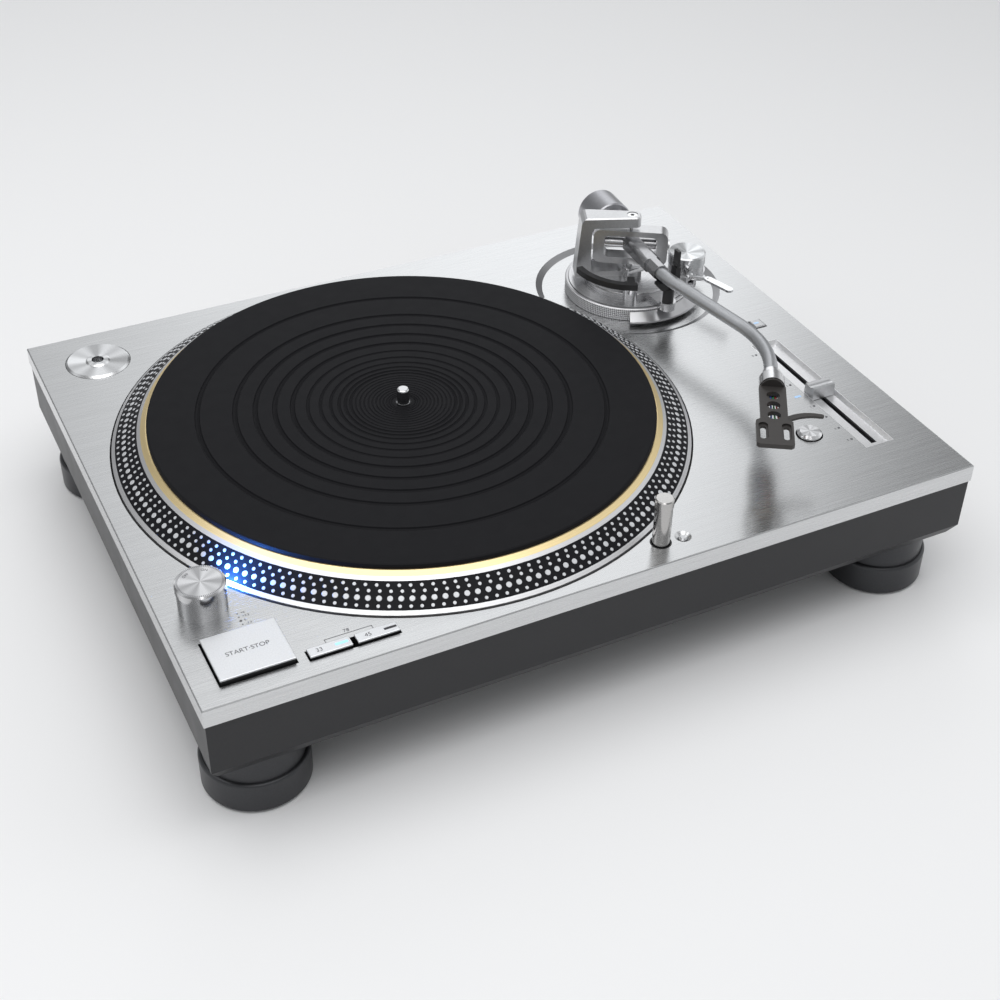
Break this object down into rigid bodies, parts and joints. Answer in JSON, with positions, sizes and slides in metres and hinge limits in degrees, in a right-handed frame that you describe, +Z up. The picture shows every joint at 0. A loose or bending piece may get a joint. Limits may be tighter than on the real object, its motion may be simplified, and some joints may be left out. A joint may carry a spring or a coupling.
{
  "type": "turntable",
  "caption": "Direct-drive record turntable on damped feet, with an S-shaped tonearm on a gimbal, a pitch slider, push buttons and a pop-up lamp.",
  "frame": {"origin": "on the floor, under the middle of the top plate", "axes": "+X to the right along the front edge, -Y to the front with the controls, +Z up"},
  "size_m": [0.453, 0.3468, 0.1385],
  "materials": {
    "brushed_plate": "brushed aluminium, hairline along the width",
    "black_plinth": "smooth black paint",
    "black_rubber": "matte black rubber",
    "foot_grey": "satin dark grey",
    "circuit_board": "green solder mask",
    "copper_coil": "enamelled copper wire",
    "brass_inner": "turned brass",
    "dark_steel": "plain steel",
    "black_plastic": "black moulded plastic",
    "gold_plate": "gold plated",
    "bright_trim": "bright satin",
    "satin_silver": "satin silver",
    "blue_glass": "clear blue window",
    "polished_rim": "polished aluminium",
    "black_band": "black band with pale dots",
    "brass_ring": "brushed brass",
    "polished_steel": "polished metal",
    "base_silver": "satin silver",
    "shell_black": "satin black",
    "dial_silver": "satin silver with fine marks",
    "weight_grey": "satin grey"
  },
  "bodies": {
    "plinth": {"top_plate": "brushed_plate", "cabinet": "black_plinth", "base_slab": "black_rubber", "chassis": "black_plinth", "motor_board": "circuit_board", "stator_coils": "copper_coil", "bearing_housing": "brass_inner", "circuit_boards": "circuit_board", "transformer": "dark_steel", "button_tray": "black_plastic", "switches": "black_plastic", "terminal_panel": "black_plastic", "rear_sockets": "gold_plate", "mains_inlet": "black_plastic", "fader_trough": "bright_trim", "fader_case": "dark_steel", "strobe_tower": "satin_silver", "strobe_window": "blue_glass", "target_sleeve": "black_plastic", "arm_base_guide": "dark_steel"},
    "platter_group": {"platter": "polished_rim", "platter_damper": "black_rubber", "strobe_band": "black_band", "brass_plate": "brass_ring", "platter_mat": "black_rubber", "spindle": "polished_steel", "rotor_disc": "dark_steel", "rotor_magnet": "dark_steel"},
    "adapter": {"record_adapter": "satin_silver"},
    "power_ring": {"power_knob": "satin_silver"},
    "start_stop": {"start_stop_button": "satin_silver"},
    "speed_33": {"speed_33_button": "satin_silver"},
    "speed_45": {"speed_45_button": "satin_silver"},
    "range_key": {"double_range_button": "satin_silver"},
    "reset_key": {"reset_button": "satin_silver"},
    "lamp": {"target_light": "satin_silver"},
    "lamp_release": {"release_button": "satin_silver"},
    "fader": {"fader_knob": "satin_silver"},
    "lift_ring": {"height_ring": "satin_silver"},
    "arm_mount": {"arm_base": "base_silver", "arm_yoke": "base_silver", "pivot_screws": "polished_steel", "arm_rest": "black_plastic", "cue_bracket": "base_silver", "lifter_post": "polished_steel"},
    "gimbal": {"gimbal_ring": "satin_silver"},
    "arm": {"arm_hub": "satin_silver", "arm_tube": "polished_steel"},
    "nut": {"locking_nut": "satin_silver"},
    "shell": {"headshell": "shell_black"},
    "dial": {"force_dial": "dial_silver"},
    "weight": {"counterweight": "weight_grey"},
    "latch": {"rest_clip": "black_plastic"},
    "skate": {"skate_knob": "satin_silver"},
    "cue": {"cue_lever": "polished_steel"},
    "lift_arm": {"lifter": "black_plastic"},
    "foot_fl": {"foot_front_left": "foot_grey"},
    "foot_fr": {"foot_front_right": "foot_grey"},
    "foot_rl": {"foot_rear_left": "foot_grey"},
    "foot_rr": {"foot_rear_right": "foot_grey"}
  },
  "joints": [
    {"name": "platter_spin", "type": "hinge", "parent": "plinth", "child": "platter_group", "pos_m": [-0.049, -0.0005, 0.09], "axis": [0, 0, 1], "continuous": true},
    {"name": "adapter_lift", "type": "slide", "parent": "plinth", "child": "adapter", "axis": [0, 0, 1], "range_m": [0, 0.03]},
    {"name": "power_turn", "type": "hinge", "parent": "plinth", "child": "power_ring", "pos_m": [-0.2028, -0.1026, 0.098], "axis": [0, 0, 1], "range_deg": [0, 45]},
    {"name": "start_stop_press", "type": "slide", "parent": "plinth", "child": "start_stop", "axis": [0, 0, -1], "range_m": [0, 0.001], "stiffness_N_per_m": 400, "springref_m": -0.002},
    {"name": "speed_33_press", "type": "slide", "parent": "plinth", "child": "speed_33", "axis": [0, 0, -1], "range_m": [0, 0.0007], "stiffness_N_per_m": 250, "springref_m": -0.002},
    {"name": "speed_45_press", "type": "slide", "parent": "plinth", "child": "speed_45", "axis": [0, 0, -1], "range_m": [0, 0.0007], "stiffness_N_per_m": 250, "springref_m": -0.002},
    {"name": "range_press", "type": "slide", "parent": "plinth", "child": "range_key", "axis": [0, 0, -1], "range_m": [0, 0.0007], "stiffness_N_per_m": 200, "springref_m": -0.002},
    {"name": "reset_press", "type": "slide", "parent": "plinth", "child": "reset_key", "axis": [0, 0, -1], "range_m": [0, 0.001], "stiffness_N_per_m": 250, "springref_m": -0.002},
    {"name": "lamp_slide", "type": "slide", "parent": "plinth", "child": "lamp", "axis": [0, 0, 1], "range_m": [-0.028, 0]},
    {"name": "release_press", "type": "slide", "parent": "plinth", "child": "lamp_release", "axis": [0, 0, -1], "range_m": [0, 0.001], "stiffness_N_per_m": 200, "springref_m": -0.002},
    {"name": "pitch_slide", "type": "slide", "parent": "plinth", "child": "fader", "axis": [0, 1, 0], "range_m": [-0.0496, 0.0496]},
    {"name": "ring_turn", "type": "hinge", "parent": "plinth", "child": "lift_ring", "pos_m": [0.14872, 0.08396, 0.086], "axis": [0, 0, 1], "range_deg": [0, 60.5]},
    {"name": "base_lift", "type": "slide", "parent": "plinth", "child": "arm_mount", "axis": [0, 0, 1], "range_m": [0, 0.006]},
    {"name": "arm_swing", "type": "hinge", "parent": "arm_mount", "child": "gimbal", "pos_m": [0.14872, 0.08396, 0.118], "axis": [0, 0, -1], "range_deg": [0, 45]},
    {"name": "arm_raise", "type": "hinge", "parent": "gimbal", "child": "arm", "pos_m": [0.14872, 0.08396, 0.118], "axis": [-0.848, 0.5299, 0], "range_deg": [0, 12]},
    {"name": "nut_turn", "type": "hinge", "parent": "arm", "child": "nut", "pos_m": [0.13583, -0.09824, 0.118], "axis": [-0.5299, -0.848, 0], "range_deg": [0, 90]},
    {"name": "shell_pull", "type": "slide", "parent": "arm", "child": "shell", "axis": [-0.5299, -0.848, 0], "range_m": [0, 0.012]},
    {"name": "dial_travel", "type": "slide", "parent": "arm", "child": "dial", "axis": [0.061, 0.9981, 0], "range_m": [-0.001, 0.004]},
    {"name": "weight_turn", "type": "hinge", "parent": "dial", "child": "weight", "pos_m": [0.1511, 0.12288, 0.118], "axis": [0.061, 0.9981, 0], "range_deg": [-180, 720]},
    {"name": "latch_turn", "type": "hinge", "parent": "arm_mount", "child": "latch", "pos_m": [0.15542, 0.03846, 0.124], "axis": [0, -1, 0], "range_deg": [0, 90]},
    {"name": "skate_turn", "type": "hinge", "parent": "arm_mount", "child": "skate", "pos_m": [0.18662, 0.07416, 0.102], "axis": [0, 0, 1], "range_deg": [0, 300]},
    {"name": "cue_turn", "type": "hinge", "parent": "arm_mount", "child": "cue", "pos_m": [0.17862, 0.05846, 0.0986], "axis": [-0.9588, -0.284, 0], "range_deg": [0, 50]},
    {"name": "lift_slide", "type": "slide", "parent": "arm_mount", "child": "lift_arm", "axis": [0, 0, 1], "range_m": [0, 0.0035]},
    {"name": "foot_fl_turn", "type": "hinge", "parent": "plinth", "child": "foot_fl", "pos_m": [-0.195, -0.141, 0.018], "axis": [0, 0, 1], "range_deg": [-180, 180]},
    {"name": "foot_fr_turn", "type": "hinge", "parent": "plinth", "child": "foot_fr", "pos_m": [0.195, -0.141, 0.018], "axis": [0, 0, 1], "range_deg": [-180, 180]},
    {"name": "foot_rl_turn", "type": "hinge", "parent": "plinth", "child": "foot_rl", "pos_m": [-0.195, 0.141, 0.018], "axis": [0, 0, 1], "range_deg": [-180, 180]},
    {"name": "foot_rr_turn", "type": "hinge", "parent": "plinth", "child": "foot_rr", "pos_m": [0.195, 0.141, 0.018], "axis": [0, 0, 1], "range_deg": [-180, 180]}
  ],
  "couplings": [
    {"joint": "ring_turn", "follows": "base_lift", "rad_per_m": 174.5},
    {"joint": "dial_travel", "follows": "weight_turn", "m_per_rad": 0.000318},
    {"joint": "cue_turn", "follows": "lift_slide", "rad_per_m": 249.33}
  ]
}
